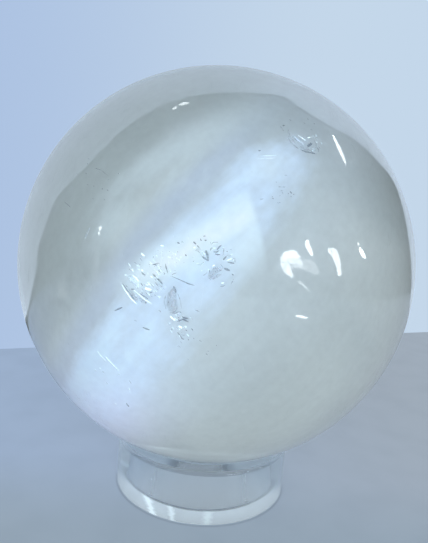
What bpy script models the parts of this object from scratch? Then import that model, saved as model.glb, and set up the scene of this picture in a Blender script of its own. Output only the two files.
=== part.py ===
"""Polished selenite sphere resting in the dished top of a clear acrylic ring stand.

Units are metres and +Z is up. The origin is the centre of the ring's foot, on the
surface that it stands on. The stone is one solid, and so is the ring. Nothing holds
the stone but its weight, so it keeps a thin gap to the dish that follows it.
"""

import math

import bmesh
import bpy

# The stone: a ball ground and polished by hand from one piece of the mineral.
SPHERE_DIAMETER = 0.076
SPHERE_SUBDIVISIONS = 5

# The stand: a slice of thick-walled clear tube with a dish turned into its top.
RING_OUTER_DIAMETER = 0.035
RING_BORE_DIAMETER = 0.019
RING_HEIGHT = 0.010
SEAT_LIP_DIAMETER = 0.029
RING_EDGE_BEVEL = 0.0003
RIM_ROUNDING = 0.0007
RING_STEPS = 96
SEAT_ARC_STEPS = 5
RIM_ARC_STEPS = 3

# Clearance between the stone and the dish, all over the dish.
SEAT_GAP = 0.0003

# Neighbouring faces that meet at more than this angle keep a crisp edge.
SHARP_ANGLE = math.radians(30.0)

SEAT_RADIUS = SPHERE_DIAMETER / 2.0 + SEAT_GAP
SPHERE_CENTRE_Z = RING_HEIGHT + math.sqrt(SEAT_RADIUS**2 - (SEAT_LIP_DIAMETER / 2.0) ** 2)

STONE_COLOUR = (0.62, 0.70, 0.74, 1.0)
STONE_ROUGHNESS = 0.06
STONE_TRANSMISSION = 0.5
STONE_IOR = 1.52

ACRYLIC_COLOUR = (0.93, 0.97, 0.98, 1.0)
ACRYLIC_ROUGHNESS = 0.03
ACRYLIC_TRANSMISSION = 1.0
ACRYLIC_IOR = 1.49


def clear_scene():
    """Remove every object that the scene starts with."""
    for existing in list(bpy.data.objects):
        bpy.data.objects.remove(existing, do_unlink=True)


def make_material(name, colour, roughness, transmission, ior):
    """A plain material for a see-through piece with no metal in it."""
    material = bpy.data.materials.new(name)
    material.use_nodes = True
    principled = material.node_tree.nodes["Principled BSDF"]
    principled.inputs["Base Color"].default_value = colour
    principled.inputs["Metallic"].default_value = 0.0
    principled.inputs["Roughness"].default_value = roughness
    principled.inputs["Transmission Weight"].default_value = transmission
    principled.inputs["IOR"].default_value = ior
    return material


def make_object(name, mesh, material):
    """Put a mesh into the scene as a named piece with its own material."""
    mesh.materials.append(material)
    piece = bpy.data.objects.new(name, mesh)
    bpy.context.scene.collection.objects.link(piece)
    return piece


def make_sphere():
    """The stone: a ball of even small triangles, as it has no seam and no poles."""
    mesh = bpy.data.meshes.new("selenite_sphere")
    ball = bmesh.new()
    bmesh.ops.create_icosphere(ball, subdivisions=SPHERE_SUBDIVISIONS, radius=SPHERE_DIAMETER / 2.0)
    ball.to_mesh(mesh)
    ball.free()
    mesh.shade_smooth()
    material = make_material(
        "milky_selenite", STONE_COLOUR, STONE_ROUGHNESS, STONE_TRANSMISSION, STONE_IOR
    )
    piece = make_object("selenite_sphere", mesh, material)
    piece.location = (0.0, 0.0, SPHERE_CENTRE_Z)
    return piece


def seat_height(radius):
    """Height of the dish at a distance from the axis: a ball just larger than the stone."""
    return SPHERE_CENTRE_Z - math.sqrt(SEAT_RADIUS**2 - radius**2)


def ring_profile():
    """Outline of the ring's wall as (radius, height), down the outside and up the bore."""
    outer = RING_OUTER_DIAMETER / 2.0
    bore = RING_BORE_DIAMETER / 2.0
    lip = SEAT_LIP_DIAMETER / 2.0
    bevel = RING_EDGE_BEVEL
    outline = []
    for step in range(RIM_ARC_STEPS + 1):
        angle = math.pi / 2.0 * (1.0 - step / RIM_ARC_STEPS)
        outline.append(
            (
                outer - RIM_ROUNDING * (1.0 - math.cos(angle)),
                RING_HEIGHT - RIM_ROUNDING * (1.0 - math.sin(angle)),
            )
        )
    outline += [
        (outer, bevel),
        (outer - bevel, 0.0),
        (bore + bevel, 0.0),
        (bore, bevel),
    ]
    for step in range(SEAT_ARC_STEPS + 1):
        radius = bore + (lip - bore) * step / SEAT_ARC_STEPS
        outline.append((radius, seat_height(radius)))
    return outline


def make_ring():
    """The stand: the wall's outline spun once around the vertical axis."""
    outline = ring_profile()
    wall = bmesh.new()
    corners = [wall.verts.new((radius, 0.0, height)) for radius, height in outline]
    sides = [wall.edges.new((corners[i - 1], corners[i])) for i in range(len(corners))]
    bmesh.ops.spin(
        wall,
        geom=corners + sides,
        cent=(0.0, 0.0, 0.0),
        axis=(0.0, 0.0, 1.0),
        angle=2.0 * math.pi,
        steps=RING_STEPS,
        use_merge=True,
    )
    bmesh.ops.recalc_face_normals(wall, faces=wall.faces)
    mesh = bpy.data.meshes.new("ring_stand")
    wall.to_mesh(mesh)
    wall.free()
    mesh.shade_smooth()
    mesh.set_sharp_from_angle(angle=SHARP_ANGLE)
    material = make_material(
        "clear_acrylic", ACRYLIC_COLOUR, ACRYLIC_ROUGHNESS, ACRYLIC_TRANSMISSION, ACRYLIC_IOR
    )
    return make_object("ring_stand", mesh, material)


def main():
    """Build the stone and its stand."""
    clear_scene()
    make_ring()
    make_sphere()


main()
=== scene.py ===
"""Looks of a polished selenite sphere resting on a clear acrylic ring stand.

The stone's surface, the fractures set into it and the ring are meshes worked out as
whole arrays. Everything is in metres, in the frame of the solids: the ring's foot
stands on z = 0, and +Z runs up through the centre of the ball. The photograph looks
along +Y.
"""

import logging
import math
from dataclasses import dataclass
from enum import Enum

import bpy
import numpy as np
from mathutils import Matrix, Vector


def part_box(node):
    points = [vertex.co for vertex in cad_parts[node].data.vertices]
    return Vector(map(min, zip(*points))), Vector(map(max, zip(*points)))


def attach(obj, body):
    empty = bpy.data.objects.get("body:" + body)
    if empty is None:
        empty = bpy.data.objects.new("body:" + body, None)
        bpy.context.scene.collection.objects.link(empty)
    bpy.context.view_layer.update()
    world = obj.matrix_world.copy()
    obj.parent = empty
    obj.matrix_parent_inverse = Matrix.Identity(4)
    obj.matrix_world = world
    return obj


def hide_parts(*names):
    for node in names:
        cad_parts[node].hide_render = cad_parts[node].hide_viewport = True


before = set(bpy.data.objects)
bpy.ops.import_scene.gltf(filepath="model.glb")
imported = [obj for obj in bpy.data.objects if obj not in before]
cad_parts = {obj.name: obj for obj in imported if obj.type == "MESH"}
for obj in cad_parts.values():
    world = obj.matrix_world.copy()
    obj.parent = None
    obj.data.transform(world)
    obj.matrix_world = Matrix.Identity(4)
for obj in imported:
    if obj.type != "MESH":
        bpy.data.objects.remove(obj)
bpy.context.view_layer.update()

ROOT_BODY = "root"
BALL_NODE = "selenite_sphere"
RING_NODE = "ring_stand"

log = logging.getLogger("selenite_sphere")

Colour = tuple[float, float, float, float]
Point = tuple[float, float, float]
Pair = tuple[float, float]
Spots = tuple[float, ...]

BLACK: Colour = (0.0, 0.0, 0.0, 1.0)
UP: Point = (0.0, 0.0, 1.0)
UNMOVED: Point = (0.0, 0.0, 0.0)
UNSCALED: Point = (1.0, 1.0, 1.0)


def srgb(red: float, green: float, blue: float) -> Colour:
    """Turn a colour as a screen shows it into the linear one that shaders take.

    Args:
        red: Red from 0 to 255.
        green: Green from 0 to 255.
        blue: Blue from 0 to 255.

    Returns:
        The linear colour with an alpha of 1.
    """
    shown = np.array([red, green, blue]) / 255.0
    linear = np.where(shown <= 0.04045, shown / 12.92, ((shown + 0.055) / 1.055) ** 2.4)
    return (*linear.tolist(), 1.0)


def unit(vectors: np.ndarray) -> np.ndarray:
    """Scale each row of an array to a length of one."""
    return vectors / np.linalg.norm(vectors, axis=-1, keepdims=True)


def curve_through(points: np.ndarray, steps: int) -> np.ndarray:
    """Run a smooth curve through some points.

    Between the points b and c, with the neighbours a and d, the curve at a share t is
    b + t (c - a) / 2 + t^2 (2a - 5b + 4c - d) / 2 + t^3 (3b - 3c + d - a) / 2.

    Args:
        points: The points, one row each.
        steps: How many points the curve has for each stretch.

    Returns:
        The curve's points, one row each, with both ends.
    """
    before = 2.0 * points[:1] - points[1:2]
    beyond = 2.0 * points[-1:] - points[-2:-1]
    padded = np.concatenate([before, points, beyond])
    a, b, c, d = (padded[i : len(padded) - 3 + i, None, :] for i in range(4))
    t = (np.arange(steps) / steps)[None, :, None]
    curve = b + t * (c - a) / 2.0 + t**2 * (2.0 * a - 5.0 * b + 4.0 * c - d) / 2.0
    curve = curve + t**3 * (3.0 * b - 3.0 * c + d - a) / 2.0
    return np.concatenate([curve.reshape(-1, points.shape[1]), points[-1:]])


def read_stroke(spots: np.ndarray, count: int) -> tuple[np.ndarray, np.ndarray]:
    """Read a line that has a width at even steps along it.

    Args:
        spots: Rows of (x, y, width) along the line.
        count: How many points are read.

    Returns:
        The line's points, and for each the way from it to the stroke's one side.
    """
    known = np.linspace(0.0, 1.0, len(spots))
    steps = np.linspace(0.0, 1.0, count)
    x, y, width = (np.interp(steps, known, column) for column in spots.T)
    line = np.stack([x, y], axis=-1)
    forward = unit(np.gradient(line, axis=0))
    return line, 0.5 * width[:, None] * np.stack([-forward[:, 1], forward[:, 0]], axis=-1)


def band_faces(count: int) -> np.ndarray:
    """Give the four-sided faces between two rows of as many points, one after the other."""
    row = np.arange(count - 1)
    return np.stack([row, row + 1, row + 1 + count, row + count], axis=-1)


def placed(axes: tuple[np.ndarray, ...], place: np.ndarray) -> Matrix:
    """Make the matrix that turns X, Y and Z to three unit vectors and shifts to a place.

    Args:
        axes: The three vectors.
        place: The place in metres.

    Returns:
        The matrix.
    """
    matrix = np.eye(4)
    matrix[:3, :3] = np.array(axes).T
    matrix[:3, 3] = place
    return Matrix(matrix)


@dataclass(frozen=True)
class PhotoView:
    """The camera of the photograph, with its place in units of the ball's radius."""

    width: float = 428.0
    height: float = 543.0
    focal: float = 500.0
    elevation: float = math.radians(5.7)
    roll: float = math.radians(4.5)
    distance: float = 2.695
    aim_right: float = -0.0033
    aim_up: float = -0.0128
    sensor: float = 36.0
    nearest: float = 0.05
    farthest: float = 200.0

    def axes(self) -> np.ndarray:
        """Work out how the camera is turned.

        Returns:
            Three rows: unit vectors to the picture's right, to its top and into it.
        """
        level = np.array([0.0, math.cos(self.elevation), -math.sin(self.elevation)])
        right = np.array([1.0, 0.0, 0.0])
        ahead = unit(level + self.aim_right * right + self.aim_up * np.cross(right, level))
        right = unit(np.cross(ahead, UP))
        up = np.cross(right, ahead)
        cosine = math.cos(self.roll)
        sine = math.sin(self.roll)
        return np.array([cosine * right + sine * up, cosine * up - sine * right, ahead])

    def place(self) -> np.ndarray:
        """Give the lens's place, seen from the ball's centre."""
        return self.distance * np.array([0.0, -math.cos(self.elevation), math.sin(self.elevation)])

    def rays(self, pixels: np.ndarray) -> np.ndarray:
        """Give the unit directions in which the lens sees some pixels.

        Args:
            pixels: Picture coordinates, one row of (x, y) for each point.

        Returns:
            One unit vector a row.
        """
        right, up, ahead = self.axes()
        across = (pixels[:, :1] - self.width / 2.0) / self.focal
        down = (pixels[:, 1:] - self.height / 2.0) / self.focal
        return unit(ahead + across * right - down * up)

    def on_ball(self, pixels: np.ndarray) -> np.ndarray:
        """Find where the rays through some pixels first meet the ball.

        A ray from the lens at c along d meets a ball of radius one at c + td, where t
        is the smaller root of |c + td| = 1. A ray that misses gives its nearest point.

        Args:
            pixels: Picture coordinates, one row of (x, y) for each point.

        Returns:
            Points on the ball, one row each, in units of its radius.
        """
        rays = self.rays(pixels)
        start = self.place()
        along = rays @ start
        inside = np.maximum(along**2 - (start @ start - 1.0), 0.0)
        return start + (-along - np.sqrt(inside))[:, None] * rays

    def mirrored(self, pixels: np.ndarray, away: float, lowest: float = -math.inf) -> np.ndarray:
        """Find the places that the polished ball mirrors at some pixels.

        A ray d that meets the ball where its surface faces n leaves along
        d - 2 (d . n) n.

        Args:
            pixels: Picture coordinates, one row of (x, y) for each point.
            away: How far the places lie from the ball's surface.
            lowest: The level that the places stay above, by lying nearer.

        Returns:
            Points seen from the ball's centre, one row each, in units of its radius.
        """
        rays = self.rays(pixels)
        points = self.on_ball(pixels)
        facing = unit(points)
        bounced = rays - 2.0 * (rays * facing).sum(axis=1, keepdims=True) * facing
        falling = np.minimum(bounced[:, 2], -1e-6)
        reach = np.minimum(away, (lowest - points[:, 2]) / falling)
        return points + reach[:, None] * bounced

    def on_level(self, pixels: np.ndarray, level: float) -> np.ndarray:
        """Find where the rays through some pixels meet a level plane.

        Args:
            pixels: Picture coordinates, one row of (x, y) for each point.
            level: The plane's height over the ball's centre, in units of its radius.

        Returns:
            Points seen from the ball's centre, one row each, in units of its radius.
        """
        rays = self.rays(pixels)
        start = self.place()
        return start + ((level - start[2]) / rays[:, 2])[:, None] * rays

    def make_camera(self, centre: np.ndarray, radius: float) -> None:
        """Put the camera into the scene.

        Args:
            centre: The ball's centre in metres.
            radius: The ball's radius in metres.
        """
        right, up, ahead = self.axes()
        data = bpy.data.cameras.new("photo_camera")
        data.sensor_width = self.sensor
        data.lens = self.focal / self.height * self.sensor
        data.clip_start = radius * self.nearest
        data.clip_end = radius * self.farthest
        camera = bpy.data.objects.new("photo_camera", data)
        bpy.context.scene.collection.objects.link(camera)
        camera.matrix_world = placed((right, up, -ahead), centre + radius * self.place())
        bpy.context.scene.camera = camera


@dataclass(frozen=True)
class SideView:
    """A patch of the ball away from the picture, laid out at the picture's scale."""

    azimuth: float
    elevation: float
    scale: float = 1.0 / 198.0

    def facing(self) -> np.ndarray:
        """Work out how the patch is turned.

        Returns:
            Three rows: unit vectors to the patch's right, to its top and out of the ball.
        """
        flat = math.cos(self.elevation)
        rise = math.sin(self.elevation)
        out = np.array([flat * math.sin(self.azimuth), -flat * math.cos(self.azimuth), rise])
        right = unit(np.cross(UP, out))
        return np.array([right, np.cross(out, right), out])

    def on_ball(self, pixels: np.ndarray) -> np.ndarray:
        """Give the points on the ball at some coordinates of the patch."""
        right, up, out = self.facing()
        return unit(out + self.scale * (pixels[:, :1] * right - pixels[:, 1:] * up))


def put_mesh(name: str, points: np.ndarray, faces: list[np.ndarray]) -> bpy.types.Object:
    """Make a smooth object at the origin from points and faces.

    Args:
        name: The piece's name.
        points: Vertex places in metres, one row each.
        faces: Arrays of vertex numbers, one row a face, turning left seen from outside.

    Returns:
        The new object, linked to the scene.
    """
    mesh = bpy.data.meshes.new(name)
    mesh.from_pydata(points.tolist(), [], [row for block in faces for row in block.tolist()])
    mesh.shade_smooth()
    piece = bpy.data.objects.new(name, mesh)
    bpy.context.scene.collection.objects.link(piece)
    return piece


def put_marks(piece: bpy.types.Object, label: str, domain: str, values: np.ndarray) -> None:
    """Store one number for each vertex or face, for the material to read.

    Args:
        piece: The object.
        label: The attribute's name.
        domain: POINT for vertices or FACE for faces.
        values: The numbers in order.
    """
    marks = piece.data.attributes.new(label, "FLOAT", domain)
    marks.data.foreach_set("value", values)


def triangles(piece: bpy.types.Object) -> int:
    """Count a piece's triangles.

    Args:
        piece: The object.

    Returns:
        Two fewer than its sides for each face, added up.
    """
    sides = np.zeros(len(piece.data.polygons), np.int32)
    piece.data.polygons.foreach_get("loop_total", sides)
    return int((sides - 2).sum())


class Value:
    """A socket's result, which adds nodes to its tree when it is reckoned with."""

    def __init__(self, desk: "NodeDesk", socket: bpy.types.NodeSocket) -> None:
        """Keep the tree's desk and the socket."""
        self.desk = desk
        self.socket = socket

    def __add__(self, other: "Value | float") -> "Value":
        """Add a value or number."""
        return self.desk.math("ADD", self, other)

    def __sub__(self, other: "Value | float") -> "Value":
        """Take a value or number away."""
        return self.desk.math("SUBTRACT", self, other)

    def __rsub__(self, other: float) -> "Value":
        """Take this value away from a number."""
        return self.desk.math("SUBTRACT", other, self)

    def __mul__(self, other: "Value | float") -> "Value":
        """Multiply by a value or number."""
        return self.desk.math("MULTIPLY", self, other)

    def __truediv__(self, other: "Value | float") -> "Value":
        """Divide by a value or number."""
        return self.desk.math("DIVIDE", self, other)

    def __abs__(self) -> "Value":
        """Drop the sign."""
        return self.desk.math("ABSOLUTE", self)

    def at_least(self, other: "Value | float") -> "Value":
        """Give the greater of this value and another."""
        return self.desk.math("MAXIMUM", self, other)

    def at_most(self, other: "Value | float") -> "Value":
        """Give the smaller of this value and another."""
        return self.desk.math("MINIMUM", self, other)

    def step(self, low: float, high: float) -> "Value":
        """Rise smoothly from 0 to 1 as this value goes from low to high.

        Args:
            low: Where the rise starts.
            high: Where it ends, which may also lie below.

        Returns:
            The share.
        """
        node = self.desk.add("MapRange", interpolation_type="SMOOTHSTEP")
        self.desk.feed(node, {"Value": self, "From Min": low, "From Max": high})
        return Value(self.desk, node.outputs["Result"])

    def ridge(self, middle: float, reach: float) -> "Value":
        """Peak at 1 where this value is at the middle, and fall to 0 a reach either side."""
        return abs(self - middle).step(reach, 0.0)


class NodeDesk:
    """Adds shader nodes to one tree and joins them with links."""

    mix_first = 6
    mix_second = 7
    mix_result = 2

    def __init__(self, tree: bpy.types.NodeTree) -> None:
        """Keep the tree that the nodes go to."""
        self.tree = tree

    def add(self, kind: str, **settings: object) -> bpy.types.Node:
        """Add a node.

        Args:
            kind: The node's type name without its ShaderNode beginning.
            settings: The node's own properties by name.

        Returns:
            The new node.
        """
        node = self.tree.nodes.new("ShaderNode" + kind)
        for name, value in settings.items():
            setattr(node, name, value)
        return node

    def feed(self, node: bpy.types.Node, inputs: dict[str | int, object]) -> None:
        """Fill some inputs of a node: link a value, or set a plain number or colour.

        Args:
            node: The node.
            inputs: What goes in, by each input's name or number.
        """
        for label, value in inputs.items():
            if isinstance(value, Value):
                self.tree.links.new(value.socket, node.inputs[label])
            else:
                node.inputs[label].default_value = value

    def read(self, kind: str, output: str, **settings: object) -> Value:
        """Add a node and give one of its outputs."""
        return Value(self, self.add(kind, **settings).outputs[output])

    def math(self, operation: str, *terms: object, clamp: bool = False) -> Value:
        """Reckon with values or numbers.

        Args:
            operation: The operation's name.
            terms: The values or numbers in order.
            clamp: Whether the result is kept within 0 and 1.

        Returns:
            The result.
        """
        node = self.add("Math", operation=operation, use_clamp=clamp)
        self.feed(node, dict(enumerate(terms)))
        return Value(self, node.outputs[0])

    def mix(self, factor: object, first: object, second: object, blend: str = "MIX") -> Value:
        """Blend a second colour over a first one.

        Args:
            factor: How much of the blend counts, from 0 to 1.
            first: The first colour.
            second: The second colour.
            blend: How the two are blended.

        Returns:
            The blended colour.
        """
        node = self.add("Mix", data_type="RGBA", blend_type=blend)
        self.feed(node, {"Factor": factor, self.mix_first: first, self.mix_second: second})
        return Value(self, node.outputs[self.mix_result])

    def mapped(
        self, vector: Value, shift: Point = UNMOVED, turn: Point = UNMOVED, size: Point = UNSCALED
    ) -> Value:
        """Size, turn and then shift a vector.

        Args:
            vector: The vector.
            shift: The way that it is shifted.
            turn: The angles about X, Y and Z.
            size: The factors along X, Y and Z.

        Returns:
            The new vector.
        """
        node = self.add("Mapping")
        self.feed(node, {"Vector": vector, "Location": shift, "Rotation": turn, "Scale": size})
        return Value(self, node.outputs["Vector"])

    def noise(self, vector: Value, scale: float, detail: float = 2.0, twist: float = 0.0) -> Value:
        """Give a cloudy value from 0 to 1.

        Args:
            vector: Where it is read.
            scale: How many clouds there are to a unit.
            detail: How many finer layers they have.
            twist: How far they are warped.

        Returns:
            The value.
        """
        node = self.add("TexNoise")
        self.feed(node, {"Vector": vector, "Scale": scale, "Detail": detail, "Distortion": twist})
        return Value(self, node.outputs["Fac"])

    def split(self, vector: Value) -> tuple[Value, ...]:
        """Give a vector's X, Y and Z."""
        node = self.add("SeparateXYZ")
        self.feed(node, {0: vector})
        return tuple(Value(self, output) for output in node.outputs)

    def length(self, vector: Value) -> Value:
        """Give a vector's length."""
        node = self.add("VectorMath", operation="LENGTH")
        self.feed(node, {0: vector})
        return Value(self, node.outputs["Value"])

    def use(self, group: bpy.types.NodeTree, inputs: dict[str, object]) -> dict[str, Value]:
        """Place a group and feed its inputs.

        Args:
            group: The group.
            inputs: What goes in, by each input's name.

        Returns:
            Its outputs by name.
        """
        node = self.add("Group", node_tree=group)
        self.feed(node, inputs)
        return {output.name: Value(self, output) for output in node.outputs}


class GroupDesk(NodeDesk):
    """The desk of a new node group with named sockets."""

    def __init__(self, name: str, inputs: dict[str, str], outputs: dict[str, str]) -> None:
        """Start the group.

        Args:
            name: The group's name.
            inputs: Each input's name and kind, such as Float, Vector or Color.
            outputs: Each output's name and kind.
        """
        super().__init__(bpy.data.node_groups.new(name, "ShaderNodeTree"))
        for way, labels in (("INPUT", inputs), ("OUTPUT", outputs)):
            for label, kind in labels.items():
                self.tree.interface.new_socket(label, in_out=way, socket_type="NodeSocket" + kind)
        node = self.tree.nodes.new("NodeGroupInput")
        self.given = {output.name: Value(self, output) for output in node.outputs}
        self.made = self.tree.nodes.new("NodeGroupOutput")


class MaterialDesk(NodeDesk):
    """The desk of a new material with its shader and output nodes."""

    def __init__(self, name: str) -> None:
        """Start the material.

        Args:
            name: The material's name.
        """
        self.material = bpy.data.materials.new(name)
        self.material.use_nodes = True
        super().__init__(self.material.node_tree)
        self.shader = self.tree.nodes["Principled BSDF"]
        self.output = self.tree.nodes["Material Output"]

    def place(self) -> Value:
        """Give the object's own coordinates, in metres."""
        return self.read("TexCoord", "Object")

    def marks(self, label: str) -> Value:
        """Give the numbers that the mesh stores under a name."""
        return self.read("Attribute", "Fac", attribute_name=label)

    def bumped(self, height: Value, strength: float, distance: float) -> Value:
        """Turn a height into a normal.

        Args:
            height: The height from 0 to 1.
            strength: How much of it counts.
            distance: How high 1 stands, in metres.

        Returns:
            The normal.
        """
        node = self.add("Bump")
        self.feed(node, {"Strength": strength, "Distance": distance, "Height": height})
        return Value(self, node.outputs["Normal"])

    def absorb(self, colour: Colour, density: float) -> None:
        """Tint the light on its way through the body.

        Args:
            colour: The colour that passes best.
            density: How much is absorbed to the metre.
        """
        node = self.add("VolumeAbsorption")
        self.feed(node, {"Color": colour, "Density": density})
        self.feed(self.output, {"Volume": Value(self, node.outputs["Volume"])})


def polish_marks() -> bpy.types.NodeTree:
    """Make the group for hand polish: fine scratches, smears and a slight waviness.

    Scratches are thin lines where a stretched cloudy value crosses its middle. Smears
    are a broad cloudy value that dulls the gloss a little.

    Returns:
        The group, with Vector, Scratches and Smears in, and Height and Roughness out.
    """
    desk = GroupDesk(
        "polish_marks",
        {"Vector": "Vector", "Scratches": "Float", "Smears": "Float"},
        {"Height": "Float", "Roughness": "Float"},
    )
    place = desk.given["Vector"]
    lines = []
    for turn, size in (((0.3, 0.9, 0.2), 5.0), ((1.4, 0.2, 2.1), 6.5)):
        drawn = desk.mapped(place, turn=turn, size=(size * 6.0, size, size * 0.3))
        broken = desk.noise(place, size * 1.3, 1.0).step(0.52, 0.68)
        lines.append(desk.noise(drawn, 1.0, 1.0).ridge(0.5, 0.006) * broken)
    scratch = lines[0].at_least(lines[1]) * desk.given["Scratches"]
    smear = desk.noise(place, 2.6, 3.0, 0.6).step(0.45, 0.75) * desk.given["Smears"]
    height = desk.noise(place, 3.1, 1.0) * 0.5 - scratch * 0.35
    desk.feed(desk.made, {"Height": height, "Roughness": scratch * 0.25 + smear})
    return desk.tree


SILK_TONES = ("Body", "Shade", "Silk", "PaintedSheenCore", "Gap", "Veil", "DeepAndPaintedLimbShade", "Low")


def silk_zones() -> bpy.types.NodeTree:
    """Make the group for the silky zones that cross the crystal in parallel slabs.

    The vector is in ball radii and turned so that X runs across the slabs and Y along
    them. Both are bent by broad cloudy values, and every number here is a place or a
    width in them, or the share of a tone. Fine threads run along the slabs, as the
    fibres do.

    - main: the bright slab, wider at its low end, with a dull spot in its middle. Its
      colour is partly the slab's own whiter silk and partly painted sheen.
    - bright: its white parts, a painted sheen highlight: the core line, a broad flake beside
      it, both cut off by the same slanting break, and a faint tip above.
    - halo: painted sheen, the soft glow on both sides of the slab.
    - beyond: the dark ends of the crystal, past the second slab, and painted shade near
      the rim, darker towards the ball's edge as seen from the front.
    - veil, corner and wisps: the fainter second slab at a small angle, the pale corner
      at its foot and the fine streaks over it.
    - gap: the lilac line between the slabs.
    - dim and wash: the shaded parts on either side.
    - glow: painted light, an emission at the low end of the slab.

    Returns:
        The group, with Vector and the tones in, and Color and Glow out.
    """
    inputs = {"Vector": "Vector"} | {tone: "Color" for tone in SILK_TONES}
    desk = GroupDesk("silk_zones", inputs, {"Color": "Color", "Glow": "Float"})
    place = desk.given["Vector"]
    plain, along, _ = desk.split(place)
    warp = desk.noise(place, 1.3, 2.0) - 0.5
    ripple = desk.noise(place, 5.0, 3.0) - 0.5
    across = plain + warp * 0.06 + ripple * 0.035
    tilted = across + along * 0.3
    threads = desk.noise(desk.mapped(place, size=(9.0, 0.7, 9.0)), 3.0, 4.0) - 0.5
    fine = desk.noise(place, 34.0, 3.0) - 0.5

    low_end = (-0.05 - along).at_least(0.0)
    high_end = (along - 0.45).at_least(0.0)
    above = across + low_end * 0.13 + high_end * 0.5
    below = across - along * 0.17 - (-0.25 - along).at_least(0.0) * 0.2
    sides = below.step(-0.13, 0.12) * above.step(0.3, 0.19)
    dull = across.ridge(0.03, 0.12) * along.ridge(-0.15, 0.17)
    patchy = desk.noise(desk.mapped(place, size=(2.4, 1.0, 2.4)), 2.3, 3.0, 0.3).step(0.3, 0.62)
    main = sides * along.step(0.75, 0.5) * (1.0 - dull * 0.6) * (patchy * 0.5 + 0.56)

    inside = (along - across * 0.667).step(0.25, 0.22)
    # Painted sheen highlight: the white core line, the flake beside it and the tip.
    painted_sheen_core = (across + along * 0.28).ridge(0.183, 0.092) * inside * along.step(-0.27, -0.1)
    flake = across.ridge(0.03, 0.13) * along.step(0.04, 0.17) * inside * 0.6
    tip = across.ridge(0.17, 0.09) * along.ridge(0.46, 0.12) * 0.4
    bright = painted_sheen_core.at_least(flake).at_least(tip)
    # The slab's low end, bluer: partly its own colour and partly painted sheen.
    low_part = sides * along.step(-0.25, -0.6)

    halo = below.ridge(-0.03, 0.26) * along.step(-0.1, -0.6) + below.ridge(0.0, 0.5) * 0.45
    low_side = along.step(0.0, -0.25)
    reach = desk.length(desk.mapped(place, shift=(0.05, 0.0, 0.0), size=(1.0, 1.0, 0.0)))
    # Painted shade: darker towards the ball's rim as seen from the front.
    painted_limb_shade = reach.step(0.46, 0.72) * (along + across.at_most(0.0) * 0.5).step(0.33, 0.5)
    beyond = tilted.step(0.585, 0.67).at_least((across + low_side * 0.06).step(0.48, 0.56) * 0.85)
    beyond = beyond.at_least(painted_limb_shade * 0.85)
    veil = tilted.ridge(0.53, 0.12) * along.ridge(0.25, 0.6) * across.step(0.57, 0.49)
    corner = across.ridge(0.43, 0.11) * along.ridge(-0.06, 0.2)
    veil = veil.at_least(corner * 0.75)
    gap = (across + low_end * 0.15).ridge(0.31, 0.1)
    wash = across.ridge(-0.37, 0.34) * along.ridge(-0.14, 0.5)
    dim = (across + low_side * 0.1).step(0.37, 0.48).at_least(wash * 0.5)
    turned = desk.mapped(place, turn=(0.0, 0.0, math.atan(0.3)))
    wisps = desk.noise(desk.mapped(turned, size=(13.0, 1.4, 13.0)), 1.6, 3.0).step(0.48, 0.72)
    wisps = wisps * tilted.ridge(0.5, 0.3) * reach.step(0.66, 0.48)
    cloudy = desk.noise(place, 2.2, 3.0, 0.4).step(0.35, 0.7)
    silk = desk.math("MULTIPLY", main + threads * 0.7, main.step(0.0, 0.25), clamp=True)

    color = desk.given["Body"]
    for share, tone in (
        (cloudy * 0.45, "Shade"),
        (dim, "Shade"),
        (gap * 0.65, "Gap"),
        (beyond, "DeepAndPaintedLimbShade"),
        (veil * 0.8, "Veil"),
        (wisps * 0.4, "Veil"),
        (halo * 0.4, "Silk"),
        (silk, "Silk"),
        (low_part * 0.75, "Low"),
        (bright, "PaintedSheenCore"),
    ):
        color = desk.mix(share, color, desk.given[tone])
    grain = fine * 0.16 + 0.97 + threads * 0.12
    # Painted light: the low end of the slab glows.
    glow = below.ridge(-0.02, 0.32) * along.step(-0.3, -0.75) * 1.2
    desk.feed(desk.made, {"Color": desk.mix(1.0, color, grain, "MULTIPLY"), "Glow": glow})
    return desk.tree


@dataclass(frozen=True)
class Streak:
    """A streak of painted light on the ring's foot: its middle X, its reach in metres and its share."""

    middle: float
    reach: float
    share: float


FOOT_STREAKS = (
    Streak(-0.0080, 0.0011, 1.0),
    Streak(-0.00425, 0.0008, 0.6),
    Streak(0.0019, 0.0012, 0.3),
    Streak(-0.0075, 0.0050, 0.12),
)
STREAK_WAVE = 0.0012


def sawn_face() -> bpy.types.NodeTree:
    """Make the group for a sawn face: fine saw marks and a few streaks of painted light.

    Each streak is a band about one X with softly faded sides, bent by a fine cloudy
    value that shifts it by half of STREAK_WAVE at most. The marks are a cloudy value
    that is drawn out along one side.

    Returns:
        The group, with Vector in, and Marks and Streaks out.
    """
    desk = GroupDesk("sawn_face", {"Vector": "Vector"}, {"Marks": "Float", "Streaks": "Float"})
    place = desk.given["Vector"]
    uneven = desk.split(place)[0] + desk.noise(place, 900.0, 2.0) * STREAK_WAVE
    streaks: Value | float = 0.0
    for streak in FOOT_STREAKS:
        band = uneven.ridge(streak.middle + 0.5 * STREAK_WAVE, streak.reach)
        streaks = band * streak.share + streaks
    drawn = desk.mapped(place, turn=(0.0, 0.0, 0.4), size=(9000.0, 600.0, 900.0))
    desk.feed(desk.made, {"Marks": desk.noise(drawn, 1.0, 3.0), "Streaks": streaks})
    return desk.tree


class Groups:
    """The shader node groups, each made once and shared by the finishes."""

    def __init__(self) -> None:
        """Make the groups."""
        self.polish = polish_marks()
        self.silk = silk_zones()
        self.sawn = sawn_face()


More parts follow.
